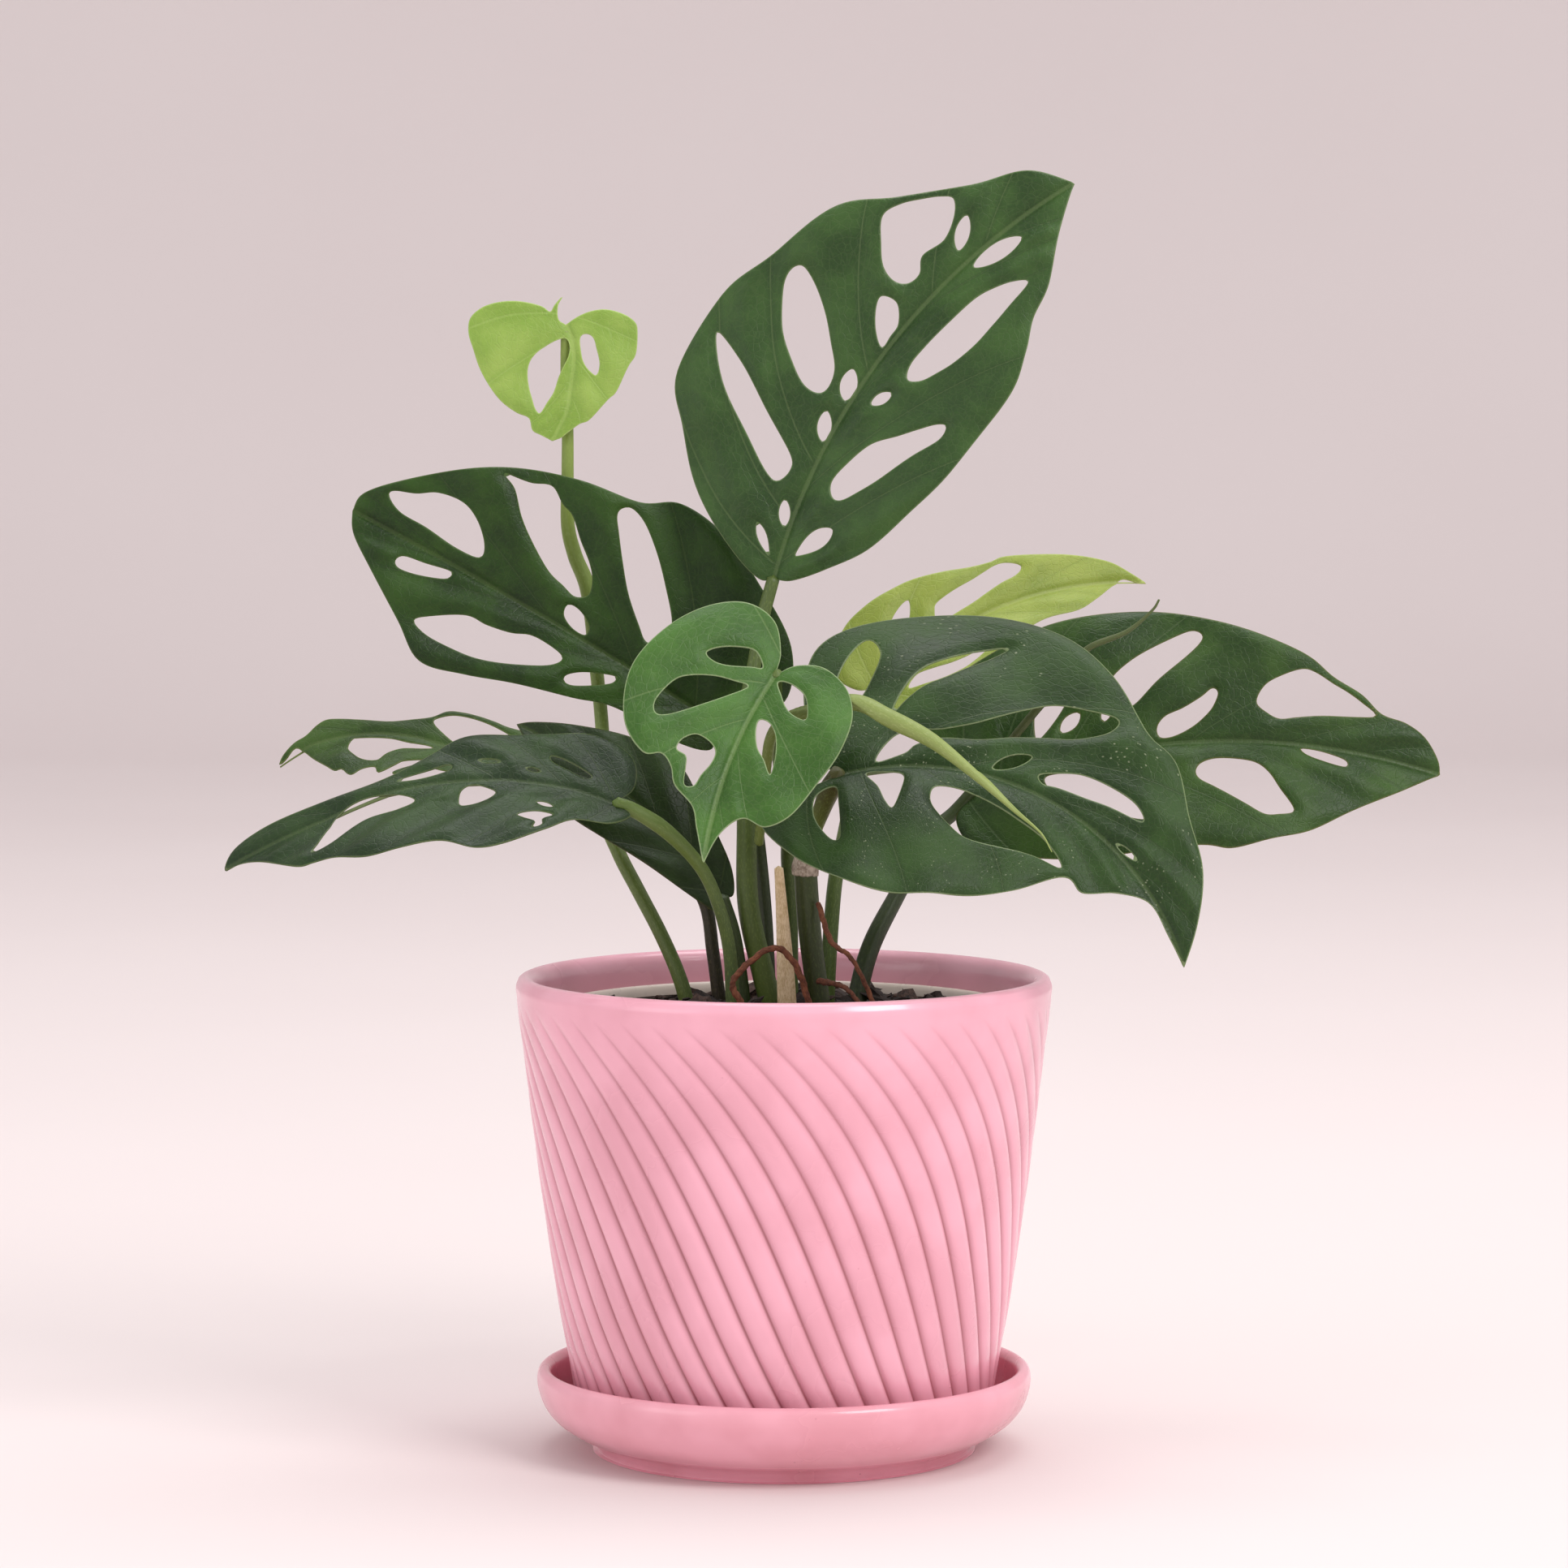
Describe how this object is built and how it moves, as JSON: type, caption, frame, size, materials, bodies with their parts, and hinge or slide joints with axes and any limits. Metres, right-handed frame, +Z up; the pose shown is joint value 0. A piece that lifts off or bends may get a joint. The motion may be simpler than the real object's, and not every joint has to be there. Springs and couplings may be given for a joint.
{
  "type": "potted monstera plant",
  "caption": "Potted Swiss cheese plant with pierced leaves on arching stalks, standing in a nursery pot inside a swirl-fluted pot on a round saucer.",
  "frame": {"origin": "centre of the saucer's flat underside", "axes": "+Z up; -Y is the front, the side most leaves face; +X is to the right when seen from the front"},
  "size_m": [0.3411, 0.1571, 0.3596],
  "materials": {
    "saucer": "glossy pink glaze",
    "pot": "glossy pink glaze",
    "nursery_pot": "glossy",
    "soil": "loose and matt",
    "leaf_tall": "satin living leaf",
    "leaf_left_back": "satin living leaf",
    "leaf_front": "satin living leaf",
    "leaf_right_front": "satin living leaf",
    "leaf_right_back": "satin living leaf",
    "leaf_pale": "satin living leaf",
    "leaf_small": "satin living leaf",
    "leaf_left_front": "satin living leaf",
    "leaf_left_back_low": "satin living leaf",
    "leaf_edge_on": "satin living leaf",
    "vine_stem": "satin living stem",
    "stalk_left_back_low": "satin living stem",
    "stalk_left_front": "satin living stem",
    "stalk_edge_on": "satin living stem",
    "stalk_tall": "satin living stem",
    "stalk_left_back": "satin living stem",
    "stalk_front": "satin living stem",
    "cane_right_front": "satin living stem",
    "stalk_pale": "satin living stem",
    "stalk_right_back": "satin living stem",
    "stalk_right_front": "satin living stem",
    "rolled_leaf": "satin living stem",
    "rolled_leaf_back": "satin living stem",
    "aerial_root_loop": "dry and matt",
    "aerial_root_long": "dry and matt",
    "aerial_root_short": "dry and matt",
    "node_sheath": "dry and matt",
    "dead_stub": "dry and matt"
  },
  "bodies": {
    "root": {"saucer": "saucer", "pot": "pot", "nursery_pot": "nursery_pot", "soil": "soil", "leaf_tall": "leaf_tall", "leaf_left_back": "leaf_left_back", "leaf_front": "leaf_front", "leaf_right_front": "leaf_right_front", "leaf_right_back": "leaf_right_back", "leaf_pale": "leaf_pale", "leaf_small": "leaf_small", "leaf_left_front": "leaf_left_front", "leaf_left_back_low": "leaf_left_back_low", "leaf_edge_on": "leaf_edge_on", "vine_stem": "vine_stem", "stalk_left_back_low": "stalk_left_back_low", "stalk_left_front": "stalk_left_front", "stalk_edge_on": "stalk_edge_on", "stalk_tall": "stalk_tall", "stalk_left_back": "stalk_left_back", "stalk_front": "stalk_front", "cane_right_front": "cane_right_front", "stalk_pale": "stalk_pale", "stalk_right_back": "stalk_right_back", "stalk_right_front": "stalk_right_front", "rolled_leaf": "rolled_leaf", "rolled_leaf_back": "rolled_leaf_back", "aerial_root_loop": "aerial_root_loop", "aerial_root_long": "aerial_root_long", "aerial_root_short": "aerial_root_short", "node_sheath": "node_sheath", "dead_stub": "dead_stub"}
  },
  "joints": []
}
